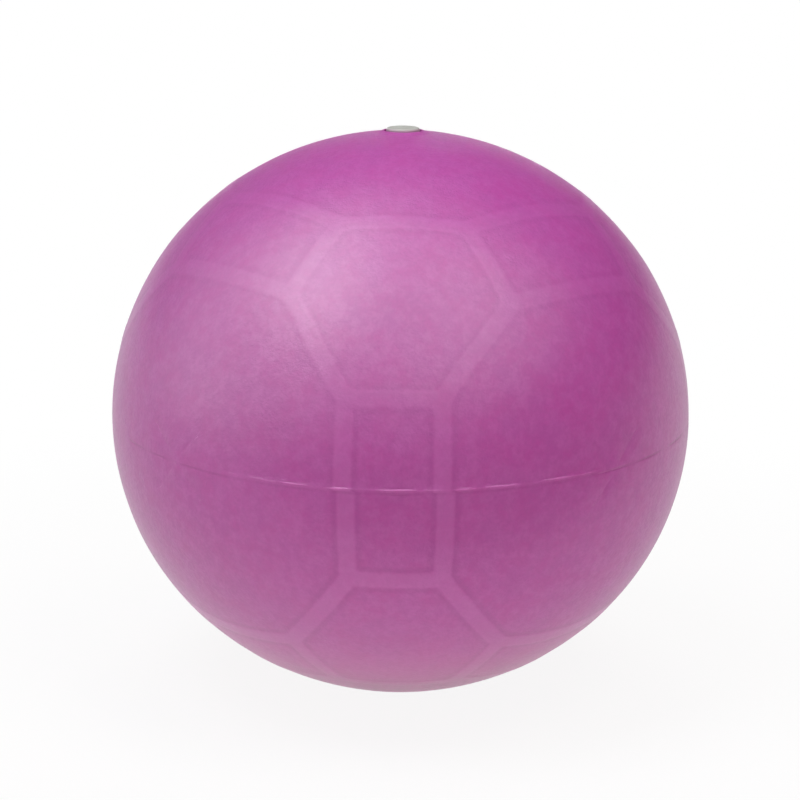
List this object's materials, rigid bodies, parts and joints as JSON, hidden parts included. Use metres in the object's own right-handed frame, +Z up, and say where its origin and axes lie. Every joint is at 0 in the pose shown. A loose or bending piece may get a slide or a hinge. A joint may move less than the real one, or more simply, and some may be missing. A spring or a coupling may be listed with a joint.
{
  "type": "inflatable play ball",
  "caption": "Soft inflatable play ball with a sagged round wall, a net of low raised bands, a ridge at its mould line and a push-in stopper in a collar at the top.",
  "frame": {"origin": "middle of the flattened patch that the ball stands on", "axes": "+Z up through the valve, -Y towards the oblong panel that faces the viewer"},
  "size_m": [0.2612, 0.2612, 0.253],
  "materials": {
    "ball_vinyl": "satin",
    "seat_vinyl": "satin",
    "plug_plastic": "satin"
  },
  "bodies": {
    "ball": {"ball_wall": "ball_vinyl", "valve_seat": "seat_vinyl"},
    "plug": {"valve_plug": "plug_plastic"}
  },
  "joints": [
    {"name": "plug_pull", "type": "slide", "parent": "ball", "child": "plug", "axis": [0, 0, 1], "range_m": [0, 0.025]}
  ]
}
